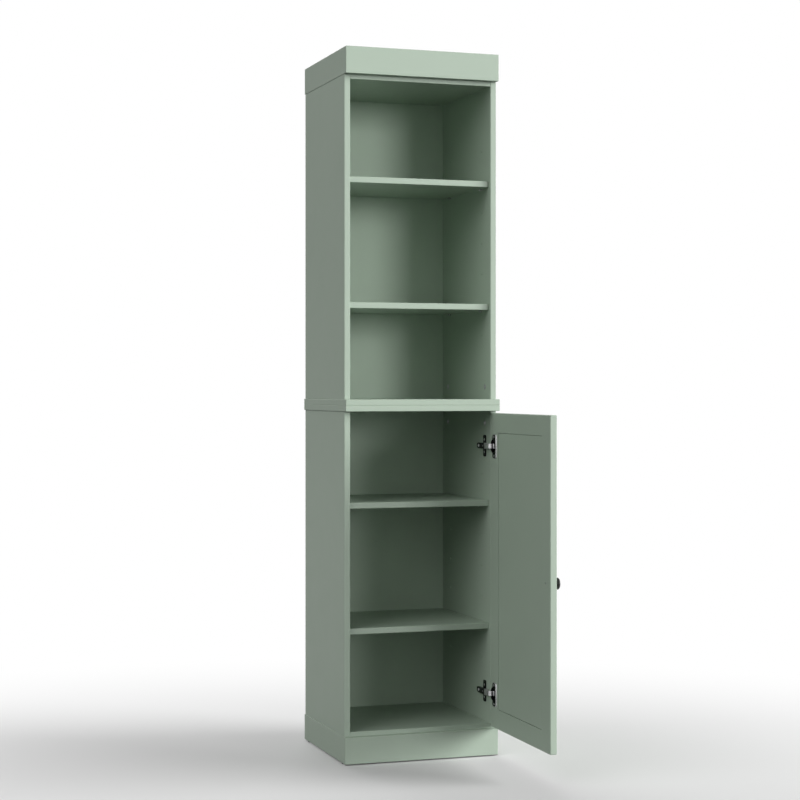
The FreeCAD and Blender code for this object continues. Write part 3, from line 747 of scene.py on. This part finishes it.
class CABINET_OT_ease_hinges(bpy.types.Operator):
    """Round the edges of the pressed hinge pieces, plate them in nickel with painted shade and painted
    highlights, with their arm screws
    """

    bl_idname = "cabinet.ease_hinges"
    bl_label = "Ease Hinges"

    # Arm screws wider than the widest adjuster are clamps, with a head on a thinner shank
    widest_adjuster = 0.003
    clamp_head = 0.0016
    clamp_shank = 0.0024
    adjuster_head = 0.0004

    # Shares of an arm screw's radius at its top and shoulder, and of its head down to shoulder and edge
    top_share = 0.7
    shoulder_share = 0.93
    shoulder_depth = 0.35
    edge_depth = 0.75

    def round_flange(self, mesh, hardware):
        """Round the outline of a cup's flange and give the rounding a painted highlight."""
        top = max(vert.co.dot(door_inward) for vert in mesh.verts)
        flat = {vert for vert in mesh.verts if top - vert.co.dot(door_inward) < same_place}
        outline = []
        for edge in mesh.edges:
            start, end = edge.verts
            if start in flat and end in flat:
                across = (end.co - start.co).cross(door_inward).normalized()
                sides = [(vert.co - start.co).dot(across) for vert in flat]
                if max(sides) < same_place or min(sides) > -same_place:
                    outline.append(edge)
        # The rounded outline takes the second material, the bright nickel: a painted highlight on the
        # flange edge
        bmesh.ops.bevel(mesh, geom=outline, offset=hardware.flange_edge, offset_type="OFFSET",
                        segments=flange_steps, profile=0.5, affect="EDGES", material=1)

    def paint_arm_light_and_shade(self, mesh, hardware):
        """Give the front of an arm a painted highlight and the part behind it painted shade."""
        front = min(vert.co.y for vert in mesh.verts)
        back = max(vert.co.y for vert in mesh.verts)
        split = front + (back - front) * hardware.highlight_share
        bmesh.ops.bisect_plane(mesh, geom=mesh.verts[:] + mesh.edges[:] + mesh.faces[:],
                               plane_co=BACK * split, plane_no=BACK)
        # Faces behind the split take the dark nickel as painted shade; the front keeps the bright nickel
        # as a painted highlight
        for face in mesh.faces:
            face.material_index = int(face.calc_center_median().y > split)

    def eased(self, name, body, materials, slot, hardware, shape=None):
        """A node's form again, with its sharp edges rounded."""
        mesh = bmesh.new()
        mesh.from_mesh(nodes[name].data)
        bmesh.ops.remove_doubles(mesh, verts=mesh.verts, dist=seam_gap)
        bmesh.ops.dissolve_limit(mesh, angle_limit=flat_bend, verts=mesh.verts, edges=mesh.edges)
        if shape:
            shape(mesh, hardware)
        piece = finish_piece(name.replace("hinge_", "") + "_eased", mesh, body, materials[0], slot, name)
        for material in materials[1:]:
            piece.data.materials.append(material)
        bevel = piece.modifiers.new("Rounded edges", "BEVEL")
        bevel.width = hardware.metal_edge
        bevel.segments = rounded_steps
        bevel.limit_method = "ANGLE"
        bevel.angle_limit = rounded_bend
        bevel.use_clamp_overlap = True
        weld = piece.modifiers.new("Joined corners", "WELD")
        weld.merge_threshold = weld_reach

    def drive_arm_screws(self, hardware):
        """Turn the clamp and adjuster screws in the hinge arms."""
        mesh = bmesh.new()
        for low, high in islands("hinge_arm_screws"):
            place, length = seat_on(low, high, -RIGHT)
            radius = (high.z - low.z) / 2
            head = self.adjuster_head
            shank = radius
            if radius > self.widest_adjuster:
                head = self.clamp_head
                shank = self.clamp_shank
            shoulder = (radius * self.shoulder_share, -head * self.shoulder_depth)
            profile = ((radius * self.top_share, 0), shoulder, (radius, -head * self.edge_depth),
                       (radius, -head), (shank, -head), (shank, -length))
            turn(mesh, profile, place, hardware.facets // 2, arm_screw_recess)
        finish_piece("arm_screws", mesh, "carcass", zinc(hardware), "plated_steel", "hinge_arm_screws")

    def execute(self, context):
        hardware = context.scene.cabinet_hardware
        # One nickel in two copies: a dark one as painted shade and a bright one as a painted highlight
        dark = metal_material("Black nickel", hardware.shaded_nickel_color, roughness=0.24, grain_scale=1400,
                              mottle=0.1)
        bright = metal_material("Nickel arm", hardware.highlit_nickel_color, roughness=0.3, grain_scale=1200,
                                metallic=0.8)
        for end in ("top", "bottom"):
            self.eased("hinge_cup_" + end, "door", (dark, bright), "dark_hinge_metal", hardware,
                       self.round_flange)
            self.eased("hinge_plate_" + end, "carcass", (dark,), "dark_hinge_metal", hardware)
            self.eased("hinge_arm_" + end, "carcass", (bright, dark), "bright_hinge_metal", hardware,
                       self.paint_arm_light_and_shade)
        dress(("hinge_pin_top", "hinge_pin_bottom"), zinc(hardware))
        self.drive_arm_screws(hardware)
        return {"FINISHED"}


class CABINET_OT_set_stage(bpy.types.Operator):
    """Lay the pale floor and set the lamps and the camera"""

    bl_idname = "cabinet.set_stage"
    bl_label = "Set Stage"

    # Each lamp's degrees to the right of the front, degrees above the floor and spread in degrees
    lamp_angles = (
        ("key", 62, 18, 34),
        ("front", -4, 4, 60),
        ("window", 22, 5, 18),
        ("back", 176, 32, 40),
        ("side", -66, 34, 56))
    lamp_height = 3
    floor_unevenness = 0.005

    def floor_material(self, stage):
        """A pale floor that throws little light back, and fades to white with distance in the picture."""
        material = bpy.data.materials.new("Studio floor")
        material.use_nodes = True
        tree = material.node_tree
        shader = tree.nodes["Principled BSDF"]
        shader.inputs["Roughness"].default_value = 0.9
        shader.inputs["Specular IOR Level"].default_value = 0.1
        place = tree.nodes.new("ShaderNodeTexCoord").outputs["Object"]
        tint = varied(tree, noise(tree, place, scale=2.0, detail=2.0), self.floor_unevenness)
        ray = tree.nodes.new("ShaderNodeLightPath").outputs
        bounce = tree.nodes.new("ShaderNodeMix")
        bounce.data_type = "RGBA"
        factor, pale, dim = [bounce.inputs[index] for index in mix_inputs]
        tree.links.new(ray["Is Diffuse Ray"], factor)
        tree.links.new(scaled_color(tree, (*stage.floor_color,), tint), pale)
        dim.default_value = (*stage.bounce_color, 1)
        tree.links.new(bounce.outputs[mix_output], shader.inputs["Base Color"])
        away = tree.nodes.new("ShaderNodeVectorMath")
        away.operation = "LENGTH"
        tree.links.new(place, away.inputs[0])
        fade = new_node(tree, "ShaderNodeMapRange", Value=away.outputs["Value"], From_Min=stage.fade_start,
                        From_Max=stage.fade_end)
        fade.interpolation_type = "SMOOTHSTEP"
        seen = math_node(tree, "MULTIPLY", fade.outputs["Result"], ray["Is Camera Ray"])
        white = tree.nodes.new("ShaderNodeEmission")
        mix = tree.nodes.new("ShaderNodeMixShader")
        tree.links.new(seen, mix.inputs[0])
        tree.links.new(shader.outputs[0], mix.inputs[1])
        tree.links.new(white.outputs[0], mix.inputs[2])
        tree.links.new(mix.outputs[0], tree.nodes["Material Output"].inputs["Surface"])
        return material

    def lay_floor(self, scene, stage):
        """Lay the floor under the cabinet, centred where it fades."""
        half = stage.floor_half
        corners = [(-half, -half, 0), (half, -half, 0), (half, half, 0), (-half, half, 0)]
        data = bpy.data.meshes.new("floor")
        data.from_pydata(corners, [], [(0, 1, 2, 3)])
        data.materials.append(self.floor_material(stage))
        floor = bpy.data.objects.new("floor", data)
        floor.location.xy = stage.fade_middle
        scene.collection.objects.link(floor)

    def light(self, scene, stage):
        """Set the white studio around the cabinet and its five soft lamps."""
        world = bpy.data.worlds.new("Studio")
        world.use_nodes = True
        tree = world.node_tree
        studio = tree.nodes["Background"]
        studio.inputs["Color"].default_value = (1, 1, 1, 1)
        ray = tree.nodes.new("ShaderNodeLightPath").outputs
        reflected = math_node(tree, "MULTIPLY", ray["Is Glossy Ray"], stage.gloss_level)
        unseen = math_node(tree, "MAXIMUM", reflected, stage.fill)
        strength = math_node(tree, "MAXIMUM", ray["Is Camera Ray"], unseen)
        tree.links.new(strength, studio.inputs["Strength"])
        scene.world = world
        for side, azimuth, elevation, softness in self.lamp_angles:
            name = side + "_lamp"
            lamp = bpy.data.objects.new(name, bpy.data.lights.new(name, "SUN"))
            lamp.data.energy = getattr(stage, side + "_strength")
            lamp.data.angle = math.radians(softness)
            lamp.rotation_euler = (math.radians(90 - elevation), 0, math.radians(azimuth))
            lamp.location.z = self.lamp_height
            scene.collection.objects.link(lamp)

    def execute(self, context):
        scene = context.scene
        stage = scene.cabinet_stage
        scene.view_settings.view_transform = "Standard"
        self.lay_floor(scene, stage)
        self.light(scene, stage)
        lens = bpy.data.cameras.new("camera")
        lens.lens = stage.lens
        lens.shift_y = stage.view_shift
        camera = bpy.data.objects.new("camera", lens)
        camera.location = stage.view_point
        camera.rotation_euler = (math.pi / 2, 0, -stage.view_turn)
        scene.collection.objects.link(camera)
        scene.camera = camera
        return {"FINISHED"}


piece_operators = (
    CABINET_OT_paint_boards, CABINET_OT_dress_joinery, CABINET_OT_seat_cams, CABINET_OT_seat_shelf_pins,
    CABINET_OT_drive_screws, CABINET_OT_seat_glides, CABINET_OT_turn_knob, CABINET_OT_ease_hinges,
    CABINET_OT_set_stage)
settings = (
    ("cabinet_paint", CabinetPaintSettings), ("cabinet_hardware", CabinetHardwareSettings),
    ("cabinet_stage", CabinetStageSettings))


class CABINET_PT_steps(bpy.types.Panel):
    """The steps that dress the cabinet, with the values they use"""

    bl_idname = "CABINET_PT_steps"
    bl_label = "Tall Cabinet"
    bl_space_type = "VIEW_3D"
    bl_region_type = "UI"
    bl_category = "Cabinet"

    def draw(self, context):
        for step in piece_operators:
            self.layout.operator(step.bl_idname)
        for name, group in settings:
            box = self.layout.box()
            for label in group.__annotations__:
                box.prop(getattr(context.scene, name), label)


def register():
    """Add the settings, the steps and the panel."""
    for name, group in settings:
        bpy.utils.register_class(group)
        setattr(bpy.types.Scene, name, PointerProperty(type=group))
    for step in piece_operators:
        bpy.utils.register_class(step)
    bpy.utils.register_class(CABINET_PT_steps)


def unregister():
    """Take the panel, the steps and the settings away again."""
    bpy.utils.unregister_class(CABINET_PT_steps)
    for step in reversed(piece_operators):
        bpy.utils.unregister_class(step)
    for name, group in reversed(settings):
        delattr(bpy.types.Scene, name)
        bpy.utils.unregister_class(group)


def main():
    """Dress the cabinet step by step."""
    register()
    bpy.ops.cabinet.paint_boards()
    bpy.ops.cabinet.dress_joinery()
    bpy.ops.cabinet.seat_cams()
    bpy.ops.cabinet.seat_shelf_pins()
    bpy.ops.cabinet.drive_screws()
    bpy.ops.cabinet.seat_glides()
    bpy.ops.cabinet.turn_knob()
    bpy.ops.cabinet.ease_hinges()
    bpy.ops.cabinet.set_stage()


if __name__ == "__main__":
    main()
